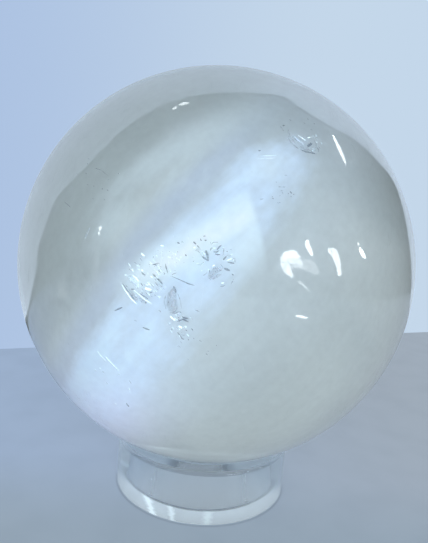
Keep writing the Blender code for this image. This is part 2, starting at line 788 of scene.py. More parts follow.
@dataclass(frozen=True)
class SeleniteFinish:
    """Hand-polished milky selenite with silky slabs, partly see-through, with painted sheen
    on the slabs and painted shade near the rim.
    """

    body: Colour = srgb(201, 207, 201)
    shade: Colour = srgb(180, 187, 184)
    # Silk and low are partly the slabs' own whiter colour and partly painted sheen; the core tone is a
    # painted sheen highlight.
    silk: Colour = srgb(224, 240, 254)
    painted_sheen_core: Colour = srgb(240, 253, 255)
    gap: Colour = srgb(190, 200, 212)
    veil: Colour = srgb(214, 224, 222)
    # Deep is the dark ends of the crystal and also painted shade near the ball's rim.
    deep_and_painted_limb_shade: Colour = srgb(177, 185, 181)
    low: Colour = srgb(216, 238, 255)
    # Painted light: the glow at the low end of the bright slab.
    painted_low_glow: Colour = (0.085, 0.07, 0.14, 1.0)
    band_turn: float = math.radians(52.0)
    transmission: float = 0.42
    ior: float = 1.52
    haze: float = 0.3
    smears: float = 0.05
    specular: float = 0.1
    coat_roughness: float = 0.02
    bump_strength: float = 0.25
    bump_height: float = 0.0003
    absorbed: Colour = srgb(214, 232, 226)
    density: float = 2.0
    glow_depth: float = 0.0013

    def make(self, groups: Groups, centre: np.ndarray, radius: float) -> bpy.types.Material:
        """Build the stone's material.

        Args:
            groups: The shared node groups.
            centre: The ball's centre in metres.
            radius: The ball's radius in metres.

        Returns:
            The material.
        """
        desk = MaterialDesk("polished_selenite")
        scale = 1.0 / radius
        ball = desk.mapped(desk.place(), tuple((-centre * scale).tolist()), size=(scale, scale, scale))
        stood_up = desk.mapped(ball, turn=(math.pi / 2.0, 0.0, 0.0))
        slabs = desk.mapped(stood_up, turn=(0.0, 0.0, math.pi / 2.0 + self.band_turn))
        silk = desk.use(groups.silk, {
            "Vector": slabs,
            "Body": self.body,
            "Shade": self.shade,
            "Silk": self.silk,
            "PaintedSheenCore": self.painted_sheen_core,
            "Gap": self.gap,
            "Veil": self.veil,
            "DeepAndPaintedLimbShade": self.deep_and_painted_limb_shade,
            "Low": self.low,
        })
        polish = desk.use(groups.polish, {"Vector": ball, "Scratches": 1.0, "Smears": self.smears})
        normal = desk.bumped(polish["Height"], self.bump_strength, self.bump_height)
        desk.feed(desk.shader, {
            "Base Color": silk["Color"],
            "Emission Color": desk.mix(silk["Glow"], BLACK, self.painted_low_glow),
            "Emission Strength": 1.0,
            "Roughness": polish["Roughness"] + self.haze,
            "Transmission Weight": self.transmission,
            "IOR": self.ior,
            "Specular IOR Level": self.specular,
            "Subsurface Weight": 1.0,
            "Subsurface Radius": (1.0, 1.0, 1.0),
            "Subsurface Scale": self.glow_depth,
            "Coat Weight": 1.0,
            "Coat Roughness": self.coat_roughness,
            "Coat IOR": self.ior,
            "Normal": normal,
            "Coat Normal": normal,
        })
        desk.absorb(self.absorbed, self.density)
        return desk.material


@dataclass(frozen=True)
class AcrylicFinish:
    """Clear polished acrylic with a few handling scratches and a sawn bore and foot. The foot
    has painted light and painted shade, and the seat painted shade.

    The foot and the seat are told apart by how far and on which side of the axis they
    lie: ahead is 1 towards the picture and -1 away from it.
    """

    tint: Colour = srgb(250, 253, 254)
    roughness: float = 0.02
    # Painted shade: foot_shadow on the foot's inner part, seat_painted_shade on the seat and the rim's
    # top.
    foot_shadow: Colour = (0.5, 0.53, 0.57, 1.0)
    seat_painted_shade: Colour = (0.5, 0.52, 0.55, 1.0)
    polish_scale: float = 60.0
    scratches: float = 0.6
    smears: float = 0.03
    sawn_roughness: float = 0.8
    mark_depth: float = 0.4
    mark_base: float = 0.8
    foot_light: Colour = (0.19, 0.205, 0.215, 1.0)
    streak_light: Colour = (0.5, 0.58, 0.62, 1.0)
    foot_fade: Pair = (0.0096, 0.0106)
    shadow_sides: Pair = (0.45, 0.85)
    seat_sides: Pair = (0.2, 0.6)
    light_ahead: Pair = (-0.35, 0.35)
    light_slant: Pair = (0.25, 0.55)
    light_behind: float = 0.15
    ior: float = 1.49
    bump_strength: float = 0.1
    bump_height: float = 0.0001
    absorbed: Colour = srgb(226, 244, 248)
    density: float = 6.0

    def make(self, groups: Groups) -> bpy.types.Material:
        """Build the ring's material.

        Args:
            groups: The shared node groups.

        Returns:
            The material.
        """
        desk = MaterialDesk("clear_acrylic_polished")
        place = desk.place()
        near = desk.mapped(place, size=(self.polish_scale,) * 3)
        polish = desk.use(
            groups.polish, {"Vector": near, "Scratches": self.scratches, "Smears": self.smears}
        )
        face = desk.use(groups.sawn, {"Vector": place})
        sawn, foot, seat = (desk.marks(label) for label in ("sawn", "foot", "seat"))
        marked = sawn * (face["Marks"] * self.mark_depth + self.mark_base)
        dulled = marked * self.sawn_roughness + self.roughness
        from_axis = desk.length(place)
        ahead = desk.split(place)[1] * -1.0 / from_axis
        outer_part = from_axis.step(*self.foot_fade)
        # Painted shade darkens the foot's inner part and the seat towards the front and back; the
        # foot's glow is painted light.
        shadow = foot * (1.0 - outer_part) * abs(ahead).step(*self.shadow_sides)
        tinted = desk.mix(shadow, self.tint, self.foot_shadow)
        lit = foot * outer_part * desk.read("LayerWeight", "Facing").step(*self.light_slant)
        lit = lit * (ahead.step(*self.light_ahead) * (1.0 - self.light_behind) + self.light_behind)
        light = desk.mix(face["Streaks"], self.foot_light, self.streak_light)
        desk.feed(desk.shader, {
            "Base Color": desk.mix(seat * abs(ahead).step(*self.seat_sides), tinted, self.seat_painted_shade),
            "Emission Color": desk.mix(lit, BLACK, light),
            "Emission Strength": 1.0,
            "Roughness": polish["Roughness"] + dulled,
            "Transmission Weight": 1.0,
            "IOR": self.ior,
            "Normal": desk.bumped(polish["Height"], self.bump_strength, self.bump_height),
        })
        desk.absorb(self.absorbed, self.density)
        return desk.material


@dataclass
class SeleniteBall:
    """The stone's surface: a ball ground by hand, so not perfectly round."""

    centre: np.ndarray
    radius: float
    columns: int = 384
    rows: int = 192
    wave_depth: float = 0.00006
    waves: int = 9
    wave_pitch: float = 5.5
    seed: int = 4

    def out_of_round(self, directions: np.ndarray) -> np.ndarray:
        """Give how far the polished surface lies inside the true ball.

        The depth is a sum of cosine waves along directions drawn once from a seeded
        generator, shifted and halved so that it runs from nothing to twice wave_depth.

        Args:
            directions: Unit vectors from the ball's centre, one row each.

        Returns:
            A depth in metres for each row.
        """
        drawn = np.random.default_rng(self.seed)
        waves = unit(drawn.normal(size=(self.waves, 3))) * self.wave_pitch
        shifts = drawn.uniform(0.0, 2.0 * math.pi, self.waves)
        swell = np.cos(directions @ waves.T + shifts).mean(axis=1)
        return self.wave_depth * (1.0 - swell)

    def surface(self) -> tuple[np.ndarray, list[np.ndarray]]:
        """Work out the ball's points and faces.

        A point at longitude u and latitude v lies along (cos u cos v, sin u cos v,
        sin v), at the radius less the out-of-round depth. The last column joins the
        first, and a single point closes each pole.

        Returns:
            The points and the faces.
        """
        longitude = np.arange(self.columns) * 2.0 * math.pi / self.columns
        latitude = -math.pi / 2.0 + np.arange(1, self.rows) * math.pi / self.rows
        u, v = np.meshgrid(longitude, latitude)
        grid = np.stack([np.cos(u) * np.cos(v), np.sin(u) * np.cos(v), np.sin(v)], axis=-1)
        poles = np.array([[0.0, 0.0, -1.0], [0.0, 0.0, 1.0]])
        directions = np.concatenate([grid.reshape(-1, 3), poles])
        reach = self.radius - self.out_of_round(directions)
        numbers = np.arange(u.size).reshape(u.shape)
        after = np.roll(numbers, -1, axis=1)
        sides = np.stack([numbers[:-1], after[:-1], after[1:], numbers[1:]], axis=-1).reshape(-1, 4)
        south, north = np.full((2, self.columns), [[u.size], [u.size + 1]])
        lowest = np.stack([south, after[0], numbers[0]], axis=-1)
        highest = np.stack([north, numbers[-1], after[-1]], axis=-1)
        return self.centre + directions * reach[:, None], [sides, lowest, highest]

    def build(self, groups: Groups) -> bpy.types.Object:
        """Make the dressed stone in place of its plain solid.

        Args:
            groups: The shared node groups.

        Returns:
            The stone.
        """
        piece = put_mesh("polished_stone", *self.surface())
        piece.data.materials.append(SeleniteFinish().make(groups, self.centre, self.radius))
        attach(piece, ROOT_BODY)
        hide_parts(BALL_NODE)
        return piece


class Look(Enum):
    """How a fracture in the polish catches the light."""

    BRIGHT = "bright"
    PALE = "pale"
    GREY = "grey"
    DARK = "dark"


@dataclass(frozen=True)
class FractureFinish:
    """A fracture in the polished face: a cloudy blend of two tones with soft borders."""

    tone: Colour
    other: Colour
    strength: float
    glow: float
    coat: float = 1.0
    roughness: float = 0.25
    gloss: float = 0.02
    clouds: float = 1400.0
    cloud_range: Pair = (0.35, 0.65)
    uneven_strength: float = 0.3
    uneven_roughness: float = 0.2
    border: float = 0.6

    def make(self, name: str, ior: float) -> bpy.types.Material:
        """Build the fracture's material.

        Args:
            name: The material's name.
            ior: The stone's index of refraction.

        Returns:
            The material.
        """
        desk = MaterialDesk(name)
        cloud = desk.noise(desk.place(), self.clouds).step(*self.cloud_range)
        tone = desk.mix(cloud, self.tone, self.other)
        strength = cloud * self.uneven_strength + (self.strength - 0.5 * self.uneven_strength)
        inner = desk.marks("inner").step(0.0, self.border)
        desk.feed(desk.shader, {
            "Base Color": tone,
            "Roughness": cloud * self.uneven_roughness + self.roughness,
            "Emission Color": tone,
            "Emission Strength": self.glow,
            "Coat Weight": self.coat,
            "Coat Roughness": self.gloss,
            "Coat IOR": ior,
            "Alpha": desk.math("MULTIPLY", inner, strength, clamp=True),
        })
        return desk.material


# The bright and pale fractures glow a little: painted light for the flashes that the cracks throw back.
FRACTURE_FINISHES = {
    Look.BRIGHT: FractureFinish(srgb(238, 252, 255), srgb(226, 244, 254), 0.85, 0.4),
    Look.PALE: FractureFinish(srgb(226, 242, 252), srgb(214, 232, 250), 0.34, 0.1, 0.5),
    Look.GREY: FractureFinish(srgb(166, 174, 176), srgb(182, 188, 194), 0.36, 0.0, 0.5),
    Look.DARK: FractureFinish(srgb(104, 116, 120), srgb(128, 138, 150), 0.62, 0.0, 0.7),
}


@dataclass(frozen=True)
class Cluster:
    """A crowd of small leaves about a place of a patch.

    Attributes:
        middle: The crowd's middle, at the picture's scale.
        reach: Its half extents across and down.
        turn: The direction in which most leaves run, in degrees down from the right.
        spread: How far their directions stray, in degrees.
        count: How many leaves there are.
        longest: The longest leaf.
        looks: The looks, each as often as it is listed.
        widest: The widest leaf.
        radial: Whether the leaves point away from the middle instead.
    """

    middle: Pair
    reach: Pair
    turn: float
    spread: float
    count: int
    longest: float
    looks: tuple[Look, ...]
    widest: float = 1.2
    radial: bool = False


SPARKLING = (Look.BRIGHT, Look.BRIGHT, Look.BRIGHT, Look.PALE, Look.DARK, Look.GREY)
DULL = (Look.GREY, Look.GREY, Look.DARK, Look.PALE)

FRONT_CLUSTERS = (
    Cluster((144.0, 281.0), (24.0, 22.0), 48.0, 22.0, 84, 5.0, SPARKLING),
    Cluster((213.0, 259.0), (21.0, 19.0), 0.0, 16.0, 26, 4.5, SPARKLING, radial=True),
    Cluster((181.0, 325.0), (13.0, 15.0), 52.0, 35.0, 30, 4.5, SPARKLING),
    Cluster((168.0, 260.0), (20.0, 14.0), 60.0, 50.0, 34, 2.8, SPARKLING),
    Cluster((194.0, 345.0), (24.0, 16.0), 40.0, 35.0, 16, 4.0, DULL),
    Cluster((313.0, 144.0), (9.0, 10.0), 60.0, 45.0, 18, 3.6, SPARKLING),
    Cluster((283.0, 188.0), (14.0, 16.0), 30.0, 50.0, 12, 2.6, DULL),
    Cluster((300.0, 128.0), (22.0, 12.0), 30.0, 30.0, 10, 3.0, DULL),
    Cluster((110.0, 385.0), (22.0, 24.0), 48.0, 12.0, 10, 5.0, (Look.BRIGHT, Look.PALE)),
    Cluster((100.0, 175.0), (24.0, 26.0), 30.0, 30.0, 12, 3.0, DULL),
)

# Each leaf is a line of picture coordinates, with its width in pixels after each x and y.
LEAVES: dict[Look, tuple[Spots, ...]] = {
    Look.BRIGHT: (
        (119.5, 281.5, 0.8, 125.5, 291.5, 1.6, 131.0, 299.0, 1.9, 138.0, 305.8, 1.0),
        (130.5, 287.5, 0.6, 137.5, 293.5, 1.0, 144.5, 299.8, 1.8, 153.2, 304.6, 1.0),
        (131.5, 274.5, 1.0, 136.0, 278.5, 2.6, 139.5, 283.0, 1.0),
        (140.6, 252.8, 1.6, 142.3, 254.8, 3.0, 144.6, 256.8, 1.4),
        (160.0, 245.4, 1.2, 161.8, 245.8, 2.4, 163.6, 246.0, 1.2),
        (140.6, 269.6, 1.4, 141.8, 270.6, 2.6, 143.2, 271.6, 1.2),
        (144.0, 288.0, 2.4, 147.0, 289.2, 5.0, 152.0, 290.2, 2.0),
        (148.0, 284.0, 0.8, 149.6, 284.8, 1.6, 151.4, 286.0, 0.8),
        (226.6, 260.8, 0.9, 229.4, 259.4, 1.9, 232.4, 258.4, 0.9),
        (192.6, 248.0, 0.9, 194.0, 247.6, 1.9, 195.6, 247.0, 0.9),
        (213.2, 248.8, 0.9, 214.6, 248.4, 1.9, 216.0, 247.6, 0.9),
        (212.2, 265.8, 1.1, 213.6, 265.6, 2.3, 215.0, 265.2, 1.1),
        (220.6, 283.6, 0.9, 222.4, 283.2, 2.0, 224.2, 282.8, 0.9),
        (169.4, 315.8, 1.4, 172.2, 318.4, 2.8, 175.4, 321.6, 1.0),
        (178.0, 325.8, 1.6, 180.2, 327.4, 3.2, 182.2, 328.8, 1.4),
        (104.0, 355.4, 0.4, 111.0, 363.4, 0.9, 119.6, 371.8, 0.4),
        (96.0, 350.0, 0.3, 101.0, 356.4, 0.6, 107.0, 362.8, 0.3),
        (297.4, 134.2, 0.6, 302.0, 137.4, 1.3, 307.4, 141.2, 0.6),
        (307.4, 137.2, 1.0, 309.2, 137.2, 2.2, 311.2, 136.8, 1.0),
        (257.0, 155.6, 0.3, 268.0, 155.4, 0.7, 279.0, 155.0, 0.3),
        (256.0, 158.2, 0.3, 264.0, 158.4, 0.6, 277.0, 158.2, 0.3),
    ),
    Look.PALE: (
        (127.0, 275.5, 4.0, 132.5, 280.0, 9.0, 139.5, 287.5, 4.0),
        (199.0, 250.4, 2.0, 203.0, 252.4, 4.2, 206.0, 256.0, 2.0),
        (177.0, 314.4, 1.4, 178.8, 314.6, 2.8, 180.8, 314.6, 1.4),
        (167.4, 324.4, 1.2, 169.4, 323.8, 2.6, 172.2, 322.6, 1.2),
        (292.0, 134.0, 1.6, 299.0, 140.0, 3.6, 305.0, 145.0, 1.6),
        (312.0, 146.6, 0.8, 314.2, 148.6, 1.6, 315.8, 151.0, 0.8),
        (84.0, 240.0, 0.6, 87.0, 233.0, 1.4, 90.0, 226.0, 0.6),
    ),
    Look.GREY: (
        (127.5, 289.5, 2.0, 132.5, 295.0, 5.0, 138.5, 302.5, 2.0),
        (138.5, 297.5, 2.0, 142.5, 301.0, 4.5, 147.5, 303.5, 2.0),
        (154.0, 282.0, 1.5, 158.5, 285.5, 3.4, 163.0, 287.5, 1.5),
        (128.2, 275.4, 0.8, 130.4, 277.0, 1.5, 132.8, 278.8, 0.8),
        (171.4, 275.2, 0.6, 174.0, 273.6, 1.2, 177.0, 272.6, 0.6),
        (180.8, 242.2, 1.2, 182.2, 241.6, 2.4, 183.8, 243.2, 1.2),
        (202.6, 236.4, 0.8, 204.8, 236.0, 1.8, 206.6, 236.6, 0.8),
        (195.0, 251.0, 1.6, 197.6, 249.4, 3.2, 201.4, 249.0, 1.6),
        (197.4, 249.8, 0.8, 199.8, 253.0, 1.3, 202.4, 257.2, 0.8),
        (195.0, 263.4, 0.8, 200.6, 264.9, 1.8, 204.6, 261.4, 0.9),
        (210.8, 244.6, 1.0, 213.6, 242.2, 2.2, 218.8, 242.3, 1.0),
        (210.2, 250.6, 1.2, 211.2, 248.6, 2.5, 212.6, 247.4, 1.2),
        (221.8, 248.4, 0.8, 224.2, 248.8, 1.8, 223.6, 252.0, 1.4, 223.8, 255.2, 0.8),
        (226.0, 255.4, 0.8, 228.8, 255.2, 1.5, 231.6, 255.8, 0.8),
        (231.4, 260.2, 0.8, 234.6, 258.2, 1.4, 235.2, 263.0, 0.8),
        (207.2, 276.6, 3.0, 214.0, 271.6, 9.0, 223.6, 267.6, 4.0),
        (207.0, 279.6, 1.5, 213.6, 277.6, 5.0, 222.6, 273.6, 2.5),
        (203.0, 275.8, 0.8, 205.4, 274.0, 1.5, 207.8, 272.2, 0.8),
        (230.6, 284.8, 0.8, 232.6, 281.6, 1.9, 233.8, 278.6, 0.9),
        (219.8, 286.4, 0.7, 222.6, 286.4, 1.5, 225.6, 285.4, 0.7),
        (175.2, 285.6, 4.0, 172.0, 295.0, 11.0, 171.6, 305.0, 14.5, 174.6, 314.6, 9.0),
        (165.6, 294.6, 1.0, 164.2, 302.0, 1.7, 166.2, 310.4, 1.0),
        (168.6, 312.4, 1.0, 174.6, 313.6, 2.2, 182.4, 310.6, 1.0),
        (177.0, 292.0, 0.8, 180.0, 300.0, 1.4, 181.6, 310.0, 0.8),
        (170.4, 328.6, 1.0, 172.0, 329.6, 2.2, 174.0, 330.8, 1.0),
        (194.6, 310.0, 0.6, 197.4, 310.8, 1.3, 200.6, 312.8, 0.7),
        (158.0, 310.0, 1.0, 159.6, 311.0, 2.0, 161.2, 312.6, 1.0),
        (133.8, 320.0, 0.9, 135.4, 320.8, 1.8, 137.0, 321.6, 0.9),
        (286.6, 135.2, 0.6, 291.6, 142.8, 2.2, 299.9, 149.6, 1.2),
        (288.0, 128.0, 0.8, 290.0, 136.0, 2.6, 296.0, 144.0, 1.0),
        (299.5, 145.5, 1.0, 305.5, 149.0, 3.6, 312.0, 150.6, 1.2),
        (314.0, 139.6, 0.8, 316.6, 143.4, 1.5, 316.4, 147.2, 0.8),
        (316.6, 146.6, 0.8, 318.8, 149.2, 1.6, 318.4, 152.6, 0.8),
        (284.4, 175.6, 0.8, 286.0, 175.2, 1.8, 287.8, 175.8, 0.8),
        (277.6, 186.6, 0.5, 282.0, 186.8, 1.3, 287.4, 187.0, 0.6),
        (280.6, 190.2, 0.8, 281.8, 190.6, 1.7, 283.0, 191.2, 0.8),
        (259.8, 199.2, 0.8, 261.6, 199.0, 2.0, 264.0, 198.4, 0.8),
        (94.0, 167.6, 0.5, 101.0, 170.2, 1.2, 109.0, 176.4, 0.5),
        (63.0, 201.0, 0.5, 67.0, 204.0, 1.1, 71.0, 208.0, 0.5),
    ),
    Look.DARK: (
        (121.2, 281.8, 0.7, 127.5, 291.0, 1.0, 136.5, 302.0, 0.8),
        (139.5, 293.2, 0.8, 144.0, 296.4, 1.5, 148.6, 299.6, 0.8),
        (130.2, 288.8, 1.0, 132.6, 289.4, 1.9, 134.6, 289.6, 1.0),
        (141.0, 271.8, 1.0, 142.6, 273.6, 2.1, 145.8, 275.6, 0.8),
        (152.2, 273.4, 1.0, 153.8, 275.2, 2.3, 156.0, 277.4, 1.0),
        (155.6, 277.0, 1.0, 159.0, 280.2, 2.3, 163.2, 285.0, 0.9),
        (151.6, 264.8, 0.8, 155.4, 264.2, 1.9, 158.4, 262.8, 1.0),
        (165.0, 262.8, 1.1, 166.2, 268.0, 1.5, 167.9, 274.2, 1.2),
        (149.4, 283.2, 0.7, 151.6, 285.2, 1.3, 154.2, 287.6, 0.7),
        (149.0, 293.0, 0.8, 150.6, 292.6, 1.5, 152.6, 292.0, 0.8),
        (168.6, 275.0, 0.4, 178.0, 279.0, 0.9, 188.0, 283.6, 1.5, 196.4, 286.2, 0.6),
        (177.0, 242.0, 1.1, 178.4, 242.8, 2.0, 180.0, 243.6, 1.0),
        (185.0, 254.2, 0.9, 185.8, 255.2, 1.9, 186.8, 256.2, 0.9),
        (193.0, 241.4, 0.9, 194.8, 243.0, 2.0, 196.4, 244.4, 1.0),
        (196.8, 245.0, 0.9, 198.2, 246.6, 1.8, 199.6, 248.4, 1.0),
        (200.2, 238.4, 0.7, 200.8, 239.8, 1.5, 202.0, 240.8, 0.7),
        (204.2, 239.8, 0.8, 205.6, 240.4, 1.6, 206.8, 240.0, 0.8),
        (205.4, 249.0, 1.8, 207.2, 254.6, 3.2, 208.6, 261.8, 1.8),
        (201.6, 255.8, 1.2, 204.6, 258.4, 2.1, 208.8, 261.2, 1.4),
        (216.4, 250.6, 1.0, 219.2, 247.2, 2.2, 221.8, 244.6, 0.9),
        (213.0, 251.8, 0.8, 216.4, 252.0, 1.8, 219.6, 250.2, 0.9),
        (214.4, 253.6, 0.8, 217.6, 254.6, 1.5, 221.0, 254.2, 0.8),
        (223.0, 260.6, 1.2, 224.6, 258.2, 2.5, 226.8, 256.0, 1.2),
        (226.8, 262.0, 0.7, 230.8, 262.8, 1.6, 235.2, 263.4, 0.9),
        (223.6, 268.2, 1.6, 227.0, 269.4, 3.4, 230.6, 271.0, 1.6),
        (231.6, 273.6, 0.8, 232.8, 274.6, 1.8, 234.0, 275.4, 0.8),
        (173.2, 285.8, 1.4, 174.6, 289.0, 2.6, 176.2, 293.6, 1.2),
        (176.0, 322.0, 1.2, 182.6, 319.2, 2.8, 189.6, 322.6, 1.2),
        (181.6, 316.4, 1.2, 185.6, 318.4, 2.8, 189.2, 319.2, 1.2),
        (176.8, 331.8, 0.8, 179.6, 335.4, 2.0, 183.2, 340.2, 0.9),
        (113.0, 311.4, 0.8, 118.6, 309.0, 2.2, 123.0, 307.0, 0.9),
        (141.8, 327.2, 0.8, 145.8, 328.8, 2.1, 150.2, 330.4, 0.9),
        (126.0, 403.0, 0.8, 127.0, 405.0, 1.8, 129.4, 407.4, 0.8),
        (299.0, 148.8, 0.8, 306.4, 151.4, 2.2, 312.0, 152.6, 2.0, 318.0, 153.8, 1.0),
        (306.6, 146.6, 1.8, 309.6, 144.8, 3.8, 313.0, 143.2, 1.6),
        (282.4, 124.8, 0.9, 283.8, 125.2, 1.9, 285.4, 125.0, 0.9),
        (258.2, 150.0, 0.8, 259.6, 150.4, 1.8, 261.2, 150.2, 0.8),
        (289.8, 191.0, 0.9, 291.0, 192.2, 1.9, 292.4, 193.6, 0.9),
    ),
}


@dataclass
class Fractures:
    """The fractures that reach the polish: thin closed leaves set into the surface.

    The ranges are what the seeded generator draws from: shares of a cluster's reach,
    longest and widest for the front, and degrees, heights, reaches and counts of the
    clusters and specks on the far side.
    """

    ball: SeleniteBall
    seed: int = 11
    raised: float = 0.000012
    sunk: float = 0.00006
    rim: float = 0.000004
    rings: int = 5
    squares_out: Pair = (0.02, 1.0)
    lengths: Pair = (0.3, 1.0)
    bends: Pair = (-0.12, 0.12)
    widths: Pair = (0.4, 1.0)
    turns: Pair = (0.0, 180.0)
    far_clusters: int = 7
    far_start: float = 75.0
    far_sweep: float = 210.0
    far_shifts: Pair = (0.1, 0.9)
    far_heights: Pair = (-0.5, 0.9)
    far_across: Pair = (9.0, 24.0)
    far_down: Pair = (9.0, 18.0)
    far_counts: tuple[int, int] = (14, 34)
    far_spread: float = 24.0
    far_longest: float = 6.0
    specks: int = 46
    speck_sides: Pair = (70.0, 290.0)
    speck_heights: Pair = (-0.8, 0.95)
    speck_reach: Pair = (3.0, 3.0)
    speck_spread: float = 30.0
    speck_leaves: int = 2
    speck_longest: float = 4.0

    def __post_init__(self) -> None:
        """Start the generator and the empty lists of leaves."""
        self.drawn = np.random.default_rng(self.seed)
        self.shapes: dict[Look, list[np.ndarray]] = {look: [] for look in Look}

    def at_depth(self, directions: np.ndarray, depth: float) -> np.ndarray:
        """Give the places at a depth under the ball's real surface in some directions."""
        reach = self.ball.radius - self.ball.out_of_round(directions) - depth
        return self.ball.centre + reach[:, None] * directions

    def add_leaf(self, look: Look, spots: np.ndarray, patch: PhotoView | SideView) -> None:
        """Set one leaf into the surface of a patch.

        The leaf is read at even steps. Each step has four points: the leaf's two sides
        just under the surface, its middle raised a hair over it and its middle sunk
        below. A wide leaf is raised more, by its half width squared over the ball's
        diameter, as the ball bulges that much between the sides. The line's ends close
        the leaf to a point.

        Args:
            look: How the leaf catches the light.
            spots: Rows of (x, y, width) along it, at the picture's scale.
            patch: The patch that it is drawn over.
        """
        line, aside = read_stroke(spots, self.rings + 2)
        left, middle, right = (patch.on_ball(line + side * aside) for side in (1.0, 0.0, -1.0))
        bulge = self.ball.radius * np.max(np.linalg.norm(left - middle, axis=1)) ** 2 / 2.0
        corners = [
            self.at_depth(left, self.rim),
            self.at_depth(middle, -self.raised - bulge),
            self.at_depth(right, self.rim),
            self.at_depth(middle, self.sunk),
        ]
        body = np.stack(corners, axis=1)[1:-1].reshape(-1, 3)
        ends = self.at_depth(middle[[0, -1]], self.rim)
        self.shapes[look].append(np.concatenate([body, ends]))

    def add_cluster(self, cluster: Cluster, patch: PhotoView | SideView) -> None:
        """Lay a cluster's small leaves, each drawn by the seeded generator.

        Args:
            cluster: The cluster.
            patch: The patch that it is laid over.
        """
        for _ in range(cluster.count):
            angle = self.drawn.uniform(0.0, 2.0 * math.pi)
            share = math.sqrt(self.drawn.uniform(*self.squares_out))
            out = np.array([math.cos(angle), math.sin(angle)])
            middle = np.array(cluster.middle) + np.array(cluster.reach) * share * out
            run = angle if cluster.radial else math.radians(cluster.turn)
            run += math.radians(self.drawn.normal(0.0, cluster.spread / 2.0))
            length = cluster.longest * self.drawn.uniform(*self.lengths)
            bend = self.drawn.uniform(*self.bends) * length
            width = cluster.widest * self.drawn.uniform(*self.widths)
            along = 0.5 * length * np.array([math.cos(run), math.sin(run)])
            aside = bend * np.array([-math.sin(run), math.cos(run)])
            path = np.array([middle - along, middle + aside, middle + along])
            look = cluster.looks[self.drawn.integers(len(cluster.looks))]
            self.add_leaf(look, np.column_stack([path, [0.5 * width, width, 0.5 * width]]), patch)

    def add_far_side(self) -> None:
        """Lay clusters and single specks over the sides that the picture doesn't show."""
        middle = (0.0, 0.0)
        between = self.drawn.uniform
        for number in range(self.far_clusters):
            share = number + between(*self.far_shifts)
            azimuth = math.radians(self.far_start + self.far_sweep * share / self.far_clusters)
            patch = SideView(azimuth, between(*self.far_heights))
            turn = between(*self.turns)
            reach = (between(*self.far_across), between(*self.far_down))
            looks = SPARKLING if number % 2 else DULL
            count = int(self.drawn.integers(*self.far_counts))
            crowd = Cluster(middle, reach, turn, self.far_spread, count, self.far_longest, looks)
            self.add_cluster(crowd, patch)
        for _ in range(self.specks):
            azimuth = math.radians(between(*self.speck_sides))
            patch = SideView(azimuth, math.asin(between(*self.speck_heights)))
            turn = between(*self.turns)
            shape = (self.speck_reach, turn, self.speck_spread, self.speck_leaves, self.speck_longest)
            self.add_cluster(Cluster(middle, *shape, DULL), patch)

    def joined(self, look: Look) -> tuple[np.ndarray, list[np.ndarray]]:
        """Join one look's leaves into a single set of points and faces.

        Args:
            look: The look.

        Returns:
            The points in metres and the faces, all turned outwards.
        """
        ring = np.arange(4)
        after = np.roll(ring, -1)
        start = 4 * self.rings
        last = start - 4
        step = np.arange(0, last, 4)[:, None]
        sides = [step + ring, step + after, step + 4 + after, step + 4 + ring]
        quads = np.stack(sides, axis=-1).reshape(-1, 4)
        first_fan = np.stack([np.full(4, start), after, ring], axis=-1)
        last_fan = np.stack([np.full(4, start + 1), last + ring, last + after], axis=-1)
        fans = np.concatenate([first_fan, last_fan])
        all_quads, all_fans = [], []
        for number, shape in enumerate(self.shapes[look]):
            corner, middle, second = shape[0], shape[1], shape[4]
            outward = np.cross(middle - corner, second - corner) @ (shape[:start].mean(axis=0) - corner)
            turn = 1 if outward < 0.0 else -1
            all_quads.append(quads[:, ::turn] + number * len(shape))
            all_fans.append(fans[:, ::turn] + number * len(shape))
        return np.concatenate(self.shapes[look]), [np.concatenate(all_quads), np.concatenate(all_fans)]

    def build(self, view: PhotoView) -> list[bpy.types.Object]:
        """Lay every leaf and make one piece for each look.

        Args:
            view: The picture's view, for the leaves that it shows.

        Returns:
            The pieces.
        """
        for look, leaves in LEAVES.items():
            for leaf in leaves:
                self.add_leaf(look, np.array(leaf).reshape(-1, 3), view)
        for cluster in FRONT_CLUSTERS:
            self.add_cluster(cluster, view)
        self.add_far_side()
        pieces = []
        inner = np.concatenate([np.tile([0.0, 1.0, 0.0, 1.0], self.rings), [0.0, 0.0]])
        for look, finish in FRACTURE_FINISHES.items():
            piece = put_mesh(f"{look.value}_fractures", *self.joined(look))
            put_marks(piece, "inner", "POINT", np.tile(inner, len(self.shapes[look])))
            piece.data.materials.append(finish.make(f"{look.value}_fracture", SeleniteFinish().ior))
            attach(piece, ROOT_BODY)
            pieces.append(piece)
        return pieces


